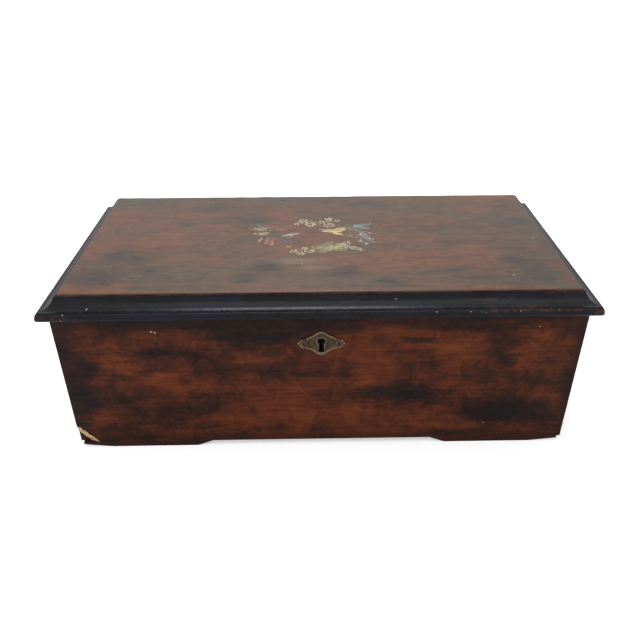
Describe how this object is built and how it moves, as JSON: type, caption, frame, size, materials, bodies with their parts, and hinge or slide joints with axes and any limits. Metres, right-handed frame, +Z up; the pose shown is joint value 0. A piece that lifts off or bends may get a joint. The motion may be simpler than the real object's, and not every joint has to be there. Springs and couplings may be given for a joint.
{
  "type": "music box",
  "caption": "Lever-wound cylinder music box in a rectangular wooden case with a moulded hinged lid, inner glass lid, comb, spring barrel and governor.",
  "frame": {"origin": "on the surface that the box stands on, under the middle of its whole outline", "axes": "+X along the case to the right as seen from the front, +Y from the front to the hinges, +Z up"},
  "size_m": [0.488, 0.242, 0.1675],
  "materials": {
    "case_wood": "worn french polish, dark red-brown",
    "lid_wood": "worn french polish, hazy brown",
    "inner_wood": "oiled, plain brown",
    "ebonised": "black stained and polished",
    "brass": "lacquered, slightly dulled",
    "aged_brass": "tarnished grey-brown",
    "steel": "ground",
    "bedplate_iron": "silvered cast iron",
    "glass": "clear, polished",
    "card": "cream card"
  },
  "bodies": {
    "case": {"front_board": "case_wood", "back_board": "case_wood", "left_board": "case_wood", "right_board": "case_wood", "bottom_board": "inner_wood", "feet": "case_wood", "escutcheon": "aged_brass", "escutcheon_nails": "aged_brass", "lock_case": "steel", "case_hinge_leaves": "aged_brass", "case_hinge_screws": "steel", "hinge_pins": "aged_brass", "left_partition": "inner_wood", "right_partition": "inner_wood", "slot_plate": "brass", "bearers": "inner_wood", "bedplate": "bedplate_iron", "barrel_cock": "brass", "left_cock": "brass", "right_cock": "brass", "comb_base": "brass", "comb": "steel", "comb_screws": "steel", "movement_screws": "steel", "governor_frame": "brass", "click_plate": "steel", "control_bracket": "brass"},
    "lid": {"lid_panel": "lid_wood", "lid_frame": "inner_wood", "front_moulding": "ebonised", "side_mouldings": "ebonised", "lid_hinge_leaves": "aged_brass", "lid_hinge_screws": "steel", "strike_plate": "aged_brass", "tune_card": "card"},
    "glass_lid": {"glass_frame": "ebonised", "glass_pane": "glass", "glass_pivots": "brass", "glass_pull": "brass"},
    "bolt": {"lock_bolt": "steel"},
    "lever": {"winding_lever": "steel", "winding_handle": "ebonised"},
    "pawl": {"drive_pawl": "steel"},
    "click": {"click": "steel"},
    "barrel_arbor": {"barrel_arbor": "steel", "ratchet_wheel": "steel"},
    "barrel": {"spring_barrel": "brass", "barrel_cap": "brass", "mainspring": "steel"},
    "cylinder_arbor": {"cylinder_arbor": "steel", "great_wheel": "brass"},
    "cylinder": {"cylinder": "brass", "cylinder_pins": "steel"},
    "snail": {"snail": "steel"},
    "first_wheel": {"first_wheel": "brass"},
    "second_wheel": {"second_wheel": "brass"},
    "fly": {"endless_screw": "steel", "fly": "brass"},
    "start_lever": {"start_lever": "brass"},
    "change_lever": {"change_lever": "brass"}
  },
  "joints": [
    {"name": "lid_hinge", "type": "hinge", "parent": "case", "child": "lid", "pos_m": [0, 0.1185, 0.14885], "axis": [-1, 0, 0], "range_deg": [0, 100]},
    {"name": "glass_lid_hinge", "type": "hinge", "parent": "case", "child": "glass_lid", "pos_m": [0, 0.103, 0.1334], "axis": [-1, 0, 0], "range_deg": [0, 85.5]},
    {"name": "bolt_slide", "type": "slide", "parent": "case", "child": "bolt", "axis": [1, 0, 0], "range_m": [0, 0.005]},
    {"name": "lever_swing", "type": "hinge", "parent": "case", "child": "lever", "pos_m": [-0.1895, 0.045, 0.072], "axis": [-1, 0, 0], "range_deg": [0, 60]},
    {"name": "pawl_pivot", "type": "hinge", "parent": "lever", "child": "pawl", "pos_m": [-0.184, 0.02014, 0.07461], "axis": [1, 0, 0], "range_deg": [0, 12], "stiffness_Nm_per_rad": 0.002, "springref_deg": -22.92},
    {"name": "click_pivot", "type": "hinge", "parent": "case", "child": "click", "pos_m": [-0.184, 0.05355, 0.04851], "axis": [-1, 0, 0], "range_deg": [0, 12], "stiffness_Nm_per_rad": 0.002, "springref_deg": -22.92},
    {"name": "barrel_arbor_turn", "type": "hinge", "parent": "case", "child": "barrel_arbor", "pos_m": [-0.15, 0.045, 0.072], "axis": [-1, 0, 0], "range_deg": [0, 60.5]},
    {"name": "barrel_turn", "type": "hinge", "parent": "case", "child": "barrel", "pos_m": [-0.128, 0.045, 0.072], "axis": [1, 0, 0], "continuous": true},
    {"name": "cylinder_turn", "type": "hinge", "parent": "case", "child": "cylinder_arbor", "pos_m": [0.02, 0.005, 0.072], "axis": [1, 0, 0], "continuous": true},
    {"name": "tune_shift", "type": "slide", "parent": "cylinder_arbor", "child": "cylinder", "axis": [1, 0, 0], "range_m": [0, 0.00225]},
    {"name": "snail_turn", "type": "hinge", "parent": "cylinder_arbor", "child": "snail", "pos_m": [0.138, 0.005, 0.086], "axis": [-1, 0, 0], "range_deg": [0, 300.5]},
    {"name": "first_wheel_turn", "type": "hinge", "parent": "case", "child": "first_wheel", "pos_m": [0.148, 0.03545, 0.06092], "axis": [1, 0, 0], "continuous": true},
    {"name": "second_wheel_turn", "type": "hinge", "parent": "case", "child": "second_wheel", "pos_m": [0.15, 0.05268, 0.06396], "axis": [1, 0, 0], "continuous": true},
    {"name": "fly_turn", "type": "hinge", "parent": "case", "child": "fly", "pos_m": [0.15525, 0.06468, 0.07], "axis": [0, 0, 1], "continuous": true},
    {"name": "start_lever_swing", "type": "hinge", "parent": "case", "child": "start_lever", "pos_m": [0.166, -0.03, 0.0875], "axis": [0, 0, 1], "range_deg": [-10, 10]},
    {"name": "change_lever_swing", "type": "hinge", "parent": "case", "child": "change_lever", "pos_m": [0.166, -0.062, 0.0875], "axis": [0, 0, 1], "range_deg": [-10, 10]}
  ],
  "couplings": [
    {"joint": "glass_lid_hinge", "follows": "lid_hinge", "ratio": 0.85},
    {"joint": "barrel_arbor_turn", "follows": "lever_swing", "ratio": 1},
    {"joint": "barrel_turn", "follows": "cylinder_turn", "ratio": -0.33333},
    {"joint": "snail_turn", "follows": "tune_shift", "rad_per_m": 2327.1},
    {"joint": "first_wheel_turn", "follows": "cylinder_turn", "ratio": -8},
    {"joint": "second_wheel_turn", "follows": "cylinder_turn", "ratio": 48},
    {"joint": "fly_turn", "follows": "cylinder_turn", "ratio": -960}
  ]
}
